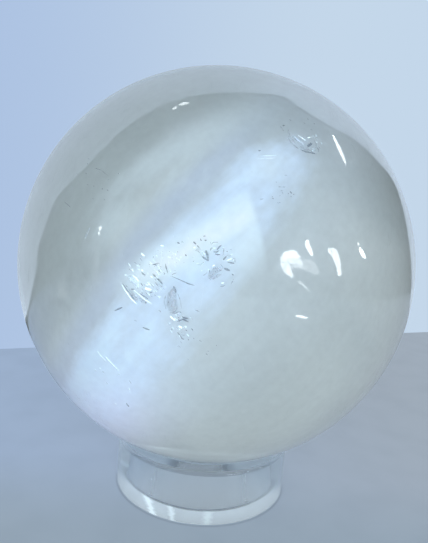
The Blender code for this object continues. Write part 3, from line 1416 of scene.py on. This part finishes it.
@dataclass
class RingStand:
    """The clear ring: a slice of thick tube with a dished top and softened edges.

    The last three fields say which stretches of the outline belong to the foot, the
    bore and the seat: the first two in shares of the edge, the third of the height.
    """

    outer: float
    height: float
    ball_centre: float
    ball_radius: float
    bore: float = 0.0095
    lip: float = 0.0145
    seat_gap: float = 0.0003
    edge: float = 0.0003
    rim: float = 0.0007
    dish_steps: int = 17
    corner_steps: int = 7
    steps: int = 256
    sharp_from: float = math.radians(35.0)
    foot_below: float = 0.5
    bore_within: float = 0.4
    seat_above: float = 0.8

    def corner(self, radius: float, height: float, rounding: float, start: float) -> np.ndarray:
        """Give a rounded edge: a quarter circle about a place, from a start angle."""
        angle = start + np.linspace(0.0, math.pi / 2.0, self.corner_steps)
        return np.array([radius, height]) + rounding * np.stack([np.cos(angle), np.sin(angle)], axis=-1)

    def outline(self) -> np.ndarray:
        """Work out the wall's outline as rows of (radius, height).

        It runs up the outside, over the flat rim, down the dish, which follows a ball
        just larger than the stone, down the bore and out along the foot.

        Returns:
            The outline's points.
        """
        seat = self.ball_radius + self.seat_gap
        across = np.linspace(self.lip, self.bore, self.dish_steps)
        return np.concatenate([
            self.corner(self.outer - self.edge, self.edge, self.edge, -math.pi / 2.0),
            self.corner(self.outer - self.rim, self.height - self.rim, self.rim, 0.0),
            np.stack([across, self.ball_centre - np.sqrt(seat**2 - across**2)], axis=-1),
            self.corner(self.bore + self.edge, self.edge, self.edge, math.pi),
        ])

    def build(self, groups: Groups) -> bpy.types.Object:
        """Turn the outline once around the upright axis and dress it.

        A point of the outline at (r, z) becomes (r cos a, r sin a, z) at each angle a.
        Each stretch of the outline is marked as sawn, foot or seat by where its middle
        lies, for the material.

        Args:
            groups: The shared node groups.

        Returns:
            The ring.
        """
        outline = self.outline()
        radius, height = outline.T
        angle = np.arange(self.steps) * 2.0 * math.pi / self.steps
        level = np.broadcast_to(height, (self.steps, len(outline)))
        turned = [np.outer(np.cos(angle), radius), np.outer(np.sin(angle), radius), level]
        numbers = np.arange(level.size).reshape(level.shape)
        after = np.roll(numbers, -1, axis=0)
        corners = [numbers, after, np.roll(after, -1, axis=1), np.roll(numbers, -1, axis=1)]
        faces = np.stack(corners, axis=-1).reshape(-1, 4)
        piece = put_mesh("clear_ring", np.stack(turned, axis=-1).reshape(-1, 3), [faces])
        piece.data.set_sharp_from_angle(angle=self.sharp_from)
        across, up = ((outline + np.roll(outline, -1, axis=0)) / 2.0).T
        foot = up < self.foot_below * self.edge
        in_dish = (up > self.seat_above * self.height) & (across < self.lip)
        kinds = {
            "sawn": foot | (across < self.bore + self.bore_within * self.edge),
            "foot": foot,
            "seat": in_dish | (up > self.height - self.rim),
        }
        for label, values in kinds.items():
            put_marks(piece, label, "FACE", np.tile(values.astype(float), self.steps))
        piece.data.materials.append(AcrylicFinish().make(groups))
        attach(piece, ROOT_BODY)
        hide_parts(RING_NODE)
        return piece


@dataclass(frozen=True)
class Glint:
    """One bright spot mirrored in the polish, as a stroke over the picture.

    Attributes:
        glow: How bright the light is that is mirrored there.
        spots: Picture coordinates along the stroke, with its width after each x and y.
    """

    glow: float
    spots: Spots


GLINTS = (
    Glint(14.0, (280.5, 259.0, 2.0, 287.0, 255.5, 8.0, 294.0, 254.5, 8.0, 300.0, 258.0, 2.0)),
    Glint(12.0, (283.5, 257.0, 5.0, 285.0, 265.0, 8.5, 288.0, 272.0, 8.0, 292.5, 277.5, 2.5)),
    Glint(10.0, (288.0, 261.0, 7.0, 296.0, 260.5, 8.0, 303.0, 264.0, 3.0)),
    Glint(7.0, (293.0, 267.0, 2.0, 299.0, 266.5, 4.5, 306.0, 269.5, 1.5)),
    Glint(3.2, (303.0, 262.0, 5.0, 311.0, 266.0, 12.0, 318.0, 274.0, 5.0)),
    Glint(5.5, (296.0, 281.5, 1.0, 302.0, 284.5, 3.0, 308.5, 291.5, 1.0)),
    Glint(18.0, (307.0, 240.0, 3.0, 308.0, 246.0, 5.0, 311.0, 252.0, 4.0, 312.0, 256.0, 1.5)),
    Glint(12.0, (328.0, 249.0, 3.0, 334.0, 252.0, 8.0, 338.0, 262.0, 6.0, 340.0, 276.0, 3.0)),
    Glint(8.0, (358.0, 242.0, 2.0, 359.5, 246.0, 2.0)),
    Glint(20.0, (360.0, 248.0, 2.5, 362.5, 253.0, 4.0, 365.5, 258.5, 2.0)),
    Glint(16.0, (295.0, 316.0, 1.0, 301.5, 317.0, 3.0, 307.0, 318.5, 1.0)),
    Glint(9.0, (333.0, 134.5, 1.2, 340.0, 149.0, 3.2, 346.5, 164.5, 1.2)),
    Glint(6.0, (179.0, 104.5, 1.5, 184.0, 103.0, 3.0, 189.0, 102.5, 1.5)),
    Glint(6.0, (173.0, 108.5, 2.0, 177.0, 106.5, 2.5)),
    Glint(12.0, (99.4, 226.4, 1.6, 99.4, 228.6, 3.2, 99.2, 230.6, 1.6)),
    Glint(10.0, (98.6, 231.4, 1.4, 98.4, 233.2, 2.8, 98.2, 235.2, 1.4)),
    Glint(0.8, (98.0, 238.0, 3.0, 96.0, 262.0, 6.0, 97.0, 290.0, 3.0)),
    Glint(0.9, (60.0, 287.0, 5.0, 62.0, 293.0, 9.0, 63.0, 299.0, 5.0)),
)


@dataclass(frozen=True)
class Studio:
    """A pale floor under soft daylight, with what the polished faces mirror.

    Places and reaches are in ball radii, widths on the floor in metres. The floor's
    line and the sheet's and shade's edges and widths are in the picture's pixels. The
    wall's and fill's ranges are shares of a unit direction.
    """

    view: PhotoView
    centre: np.ndarray
    radius: float
    wall_left: Colour = srgb(172, 194, 226)
    wall_right: Colour = srgb(196, 215, 234)
    wall_across: Pair = (-0.5, 0.2)
    floor_left: Colour = srgb(137, 157, 184)
    floor_right: Colour = srgb(140, 151, 162)
    floor_near: Colour = srgb(127, 143, 156)
    floor_across: Pair = (-2.0, 2.0)
    floor_ahead: Pair = (0.2, -0.7)
    mottle: Colour = (0.86, 0.87, 0.88, 1.0)
    mottle_scale: float = 90.0
    mottle_detail: float = 5.0
    mottle_range: Pair = (0.35, 0.75)
    mottle_share: float = 0.5
    floor_tint: Colour = srgb(96, 100, 106)
    floor_roughness: float = 0.6
    floor_bounce: Colour = (0.58, 0.6, 0.6, 1.0)
    under_glow: float = 3.0
    under_reach: Pair = (0.3, 0.22)
    # Painted shadow: a thin dark line round the ring's foot.
    painted_contact_shadow: Colour = srgb(60, 70, 90)
    contact_width: float = 0.0004
    painted_contact_shadow_share: float = 0.35
    room: Colour = srgb(86, 94, 96)
    front_fill: Colour = (0.76, 0.77, 0.82, 1.0)
    back_fill: Colour = (0.36, 0.365, 0.38, 1.0)
    fill_across: Pair = (-0.9, 0.7)
    top_dimming: Colour = (0.35, 0.35, 0.35, 1.0)
    dimming_rise: Pair = (0.1, 0.9)
    ring_reach: Pair = (0.25, 0.46)
    ring_softness: float = 0.0006
    # Painted light: the floor seen through the ring is made lighter.
    ring_lift: Colour = (0.85, 0.8, 0.7, 1.0)
    bore_lift: Colour = (0.27, 0.14, 0.0, 1.0)
    shade_line: Colour = srgb(72, 79, 78)
    shade_width: tuple[float, float, float] = (16.0, 26.0, 12.0)
    shade_widest: float = 0.7
    shade_rows: tuple[float, float, float] = (0.0, 0.3, 1.0)
    shade_fade: tuple[float, float, float] = (0.0, 0.25, 1.0)
    shade_start: float = 0.12
    shade_ahead: float = 0.5
    sheet_near: Colour = srgb(150, 166, 176)
    sheet_far: Colour = (0.81, 0.965, 1.18, 1.0)
    sheet_low: tuple[Point, Point] = ((8.0, 12.0, -9.0), (-5.6, 12.2, -9.0))
    sheet_end: float = 0.8
    floor_gap: float = 0.0002
    floor_reach: float = 9.0
    floor_line: tuple[Pair, ...] = ((0.0, 349.0), (428.0, 332.0))
    sheet_edge: tuple[Pair, ...] = (
        (25.0, 323.0), (35.0, 273.0), (38.0, 247.0), (47.0, 220.0), (57.0, 197.0), (80.0, 173.0),
        (110.0, 142.0), (133.0, 122.0), (167.0, 103.0), (200.0, 94.0), (233.0, 92.0), (267.0, 93.0),
        (287.0, 97.0), (300.0, 107.0), (333.0, 127.0), (360.0, 143.0), (377.0, 160.0), (393.0, 180.0),
        (403.0, 207.0), (409.0, 240.0), (412.0, 275.0), (409.0, 312.0), (404.0, 330.0),
    )
    edge_steps: int = 6
    sheet_away: float = 14.0
    glint_away: float = 9.0
    glint_steps: int = 4
    glint_lowest: float = -1.1
    glint_colour: Colour = (0.92, 0.98, 1.0, 1.0)
    window_place: Point = (0.4, -7.6, 1.8)
    window_size: float = 6.0
    window_power: float = 0.95
    window_colour: Colour = srgb(223, 238, 255)

    def in_metres(self, reaches: Pair) -> Pair:
        """Turn two reaches in ball radii into metres."""
        return reaches[0] * self.radius, reaches[1] * self.radius

    def light_world(self) -> None:
        """Make the surroundings: what the camera sees, what gloss mirrors and the fill."""
        world = bpy.data.worlds.new("soft_daylight")
        world.use_nodes = True
        bpy.context.scene.world = world
        desk = NodeDesk(world.node_tree)
        x, y, z = desk.split(desk.read("TexCoord", "Generated"))
        wall = desk.mix(x.step(*self.wall_across), self.wall_left, self.wall_right)
        fill = desk.mix(y.step(*self.fill_across), self.front_fill, self.back_fill)
        fill = desk.mix(z.step(*self.dimming_rise), fill, self.top_dimming, "MULTIPLY")
        seen = desk.mix(desk.read("LightPath", "Is Diffuse Ray"), wall, fill)
        seen = desk.mix(desk.read("LightPath", "Is Glossy Ray"), seen, self.room)
        seen = desk.mix(desk.read("LightPath", "Is Transmission Ray"), seen, wall)
        desk.feed(world.node_tree.nodes["Background"], {"Color": seen})

    def lay_floor(self) -> None:
        """Lay the floor, whose far edge is the line along the wall's foot in the picture."""
        level = (-self.floor_gap - self.centre[2]) / self.radius
        ends = self.view.on_level(np.array(self.floor_line), level)
        middle = ends.mean(axis=0)
        run = self.floor_reach * unit(ends[1] - ends[0])
        corners = np.array([middle - run, middle + run, middle + run, middle - run])
        corners[:2, 1] = -self.floor_reach
        floor = put_mesh("floor", self.centre + self.radius * corners, [np.array([[0, 1, 2, 3]])])
        floor.data.materials.append(self.floor_material())

    def floor_material(self) -> bpy.types.Material:
        """Build the floor's material: a pale mottled stone that gives its own even light.

        Under the ball it is lit up for the stone, round the ring's foot it has a thin
        painted contact shadow, and seen through the ring it is painted a little lighter.

        Returns:
            The material.
        """
        desk = MaterialDesk("pale_floor")
        place = desk.place()
        x, y, _ = desk.split(place)
        across = x.step(*self.in_metres(self.floor_across))
        stone = desk.mix(across, self.floor_left, self.floor_right)
        stone = desk.mix(y.step(*self.in_metres(self.floor_ahead)), stone, self.floor_near)
        cloud = desk.noise(place, self.mottle_scale, self.mottle_detail)
        mottle = cloud.step(*self.mottle_range) * self.mottle_share
        stone = desk.mix(mottle, stone, self.mottle, "MULTIPLY")
        diffuse = desk.read("LightPath", "Is Diffuse Ray")
        from_axis = desk.length(place)
        bore, ring = self.in_metres(self.ring_reach)
        # Painted shadow: a thin dark line round the ring's foot.
        painted_contact_shadow_mask = from_axis.ridge(ring, self.contact_width) * self.painted_contact_shadow_share
        with_painted_contact_shadow = desk.mix(painted_contact_shadow_mask, stone, self.painted_contact_shadow)
        under = from_axis.step(*self.in_metres(self.under_reach))
        # Painted light: the floor seen through the ring is made lighter.
        in_bore = from_axis.step(bore + self.contact_width, bore - self.contact_width)
        lift = desk.mix(in_bore, self.ring_lift, self.bore_lift)
        lifted = desk.mix(1.0, stone, lift, "MULTIPLY")
        inside = from_axis.step(ring + self.ring_softness, ring)
        inside = inside * desk.read("LightPath", "Is Transmission Ray")
        seen = desk.mix(inside, with_painted_contact_shadow, lifted, "ADD")
        desk.feed(desk.shader, {
            "Emission Color": desk.mix(diffuse, seen, self.floor_bounce),
            "Emission Strength": under * self.under_glow * diffuse + 1.0,
            "Base Color": self.floor_tint,
            "Roughness": self.floor_roughness,
        })
        return desk.material

    def hang_card(
        self,
        name: str,
        light: str,
        points: np.ndarray,
        faces: list[np.ndarray],
        tones: tuple[Colour, ...],
        strength: float = 1.0,
        shares: np.ndarray | None = None,
    ) -> None:
        """Hang a glowing card that only polished faces show.

        Args:
            name: The card's name.
            light: Its material's name.
            points: Its corners, one row each.
            faces: Arrays of corner numbers, one row a face.
            tones: Its colour, or the two colours that it blends.
            strength: How bright it is.
            shares: How much of the second colour each corner has.
        """
        card = put_mesh(name, self.centre + self.radius * points, faces)
        desk = MaterialDesk(light)
        tone = tones[0]
        if shares is not None:
            put_marks(card, "share", "POINT", shares)
            tone = desk.mix(desk.marks("share"), *tones)
        glow = desk.add("Emission")
        desk.feed(glow, {"Color": tone, "Strength": strength})
        desk.feed(desk.output, {"Surface": Value(desk, glow.outputs["Emission"])})
        card.data.materials.append(desk.material)
        card.visible_camera = False
        card.visible_diffuse = False
        card.visible_transmission = False
        card.visible_volume_scatter = False
        card.visible_shadow = False

    def hang_sheet(self) -> None:
        """Hang the pale sheet whose edge the ball mirrors as an arc inside its rim.

        The sheet is a fan of triangles from the place straight behind the ball out to
        the places that the ball mirrors along the arc. A corner value that is 0 in the
        middle and 1 along the edge blends its two colours.
        """
        arc = curve_through(np.array(self.sheet_edge), self.edge_steps)
        edge = self.view.mirrored(arc, self.sheet_away)
        middle = -self.sheet_away * unit(self.view.place())
        points = np.concatenate([middle[None, :], edge, self.sheet_low])
        outer = np.arange(1, len(points))
        faces = np.stack([np.zeros_like(outer), outer, np.roll(outer, -1)], axis=-1)
        shares = np.concatenate([[0.0], np.linspace(1.0, self.sheet_end, len(outer))])
        tones = (self.sheet_near, self.sheet_far)
        self.hang_card("mirrored_sheet", "sheet_light", points, [faces], tones, shares=shares)

    def hang_shade(self) -> None:
        """Hang the dim strip that the ball mirrors as a dark line inside the arc.

        The strip follows the arc, and each of its far points lies a width nearer to the
        ball's middle in the picture. The width grows from the arc's left end and shrinks
        again to its right one. A corner value fades the strip into the room, inwards and
        at its left end.
        """
        edge = curve_through(np.array(self.sheet_edge), self.edge_steps)
        middle = np.array([self.view.width / 2.0, self.view.height / 2.0])
        along = np.linspace(0.0, 1.0, len(edge))
        wide = np.interp(along, (0.0, self.shade_widest, 1.0), self.shade_width)
        inwards = wide[:, None] * unit(middle - edge)
        rows = [edge + share * inwards for share in self.shade_rows]
        away = self.sheet_away - self.shade_ahead
        points = np.concatenate([self.view.mirrored(row, away) for row in rows])
        near = band_faces(len(edge))
        at_end = np.clip(1.0 - along / self.shade_start, 0.0, 1.0)
        shares = np.maximum(np.repeat(self.shade_fade, len(edge)), np.tile(at_end, len(rows)))
        tones = (self.shade_line, self.room)
        faces = [near, near + len(edge)]
        self.hang_card("mirrored_shade", "shade_light", points, faces, tones, shares=shares)

    def hang_glint(self, number: int, glint: Glint) -> None:
        """Hang one small light that the ball mirrors as a bright stroke.

        Each point on the stroke's two sides is carried to the place that it mirrors.

        Args:
            number: The glint's number, for its name.
            glint: The stroke.
        """
        spots = np.array(glint.spots).reshape(-1, 3)
        line, aside = read_stroke(spots, self.glint_steps * len(spots))
        sides = (line + aside, line - aside)
        points = [self.view.mirrored(side, self.glint_away, self.glint_lowest) for side in sides]
        self.hang_card(
            f"glint_{number:02d}",
            f"glint_light_{number:02d}",
            np.concatenate(points),
            [band_faces(len(line))],
            (self.glint_colour,),
            glint.glow,
        )

    def hang_window(self) -> None:
        """Hang the square soft light that faces the ball and shows in no reflection."""
        data = bpy.data.lights.new("window_light", "AREA")
        data.size = self.window_size * self.radius
        data.energy = self.window_power
        data.color = self.window_colour[:3]
        lamp = bpy.data.objects.new("window_light", data)
        bpy.context.scene.collection.objects.link(lamp)
        lamp.visible_glossy = False
        lamp.visible_transmission = False
        offset = np.array(self.window_place)
        away = unit(offset)
        side = unit(np.cross(UP, away))
        place = self.centre + offset * self.radius
        lamp.matrix_world = placed((side, np.cross(away, side), away), place)

    def build(self) -> None:
        """Set up the floor, the surroundings and the lights."""
        bpy.context.scene.view_settings.view_transform = "Standard"
        self.light_world()
        self.lay_floor()
        self.hang_sheet()
        self.hang_shade()
        for number, glint in enumerate(GLINTS):
            self.hang_glint(number, glint)
        self.hang_window()


def main() -> None:
    """Build the stone, its ring and the studio."""
    logging.basicConfig(level=logging.INFO, format="%(message)s")
    low, high = (np.array(corner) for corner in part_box(BALL_NODE))
    centre = (low + high) / 2.0
    radius = float(high[2] - low[2]) / 2.0
    ring_low, ring_high = (np.array(corner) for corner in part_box(RING_NODE))
    outer = float(ring_high[0] - ring_low[0]) / 2.0
    groups = Groups()
    view = PhotoView()
    view.make_camera(centre, radius)
    ball = SeleniteBall(centre, radius)
    pieces = [
        ball.build(groups),
        RingStand(outer, float(ring_high[2]), float(centre[2]), radius).build(groups),
        *Fractures(ball).build(view),
    ]
    Studio(view, centre, radius).build()
    for piece in pieces:
        log.info("%s: %d triangles", piece.name, triangles(piece))
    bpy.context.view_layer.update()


if __name__ == "__main__":
    main()
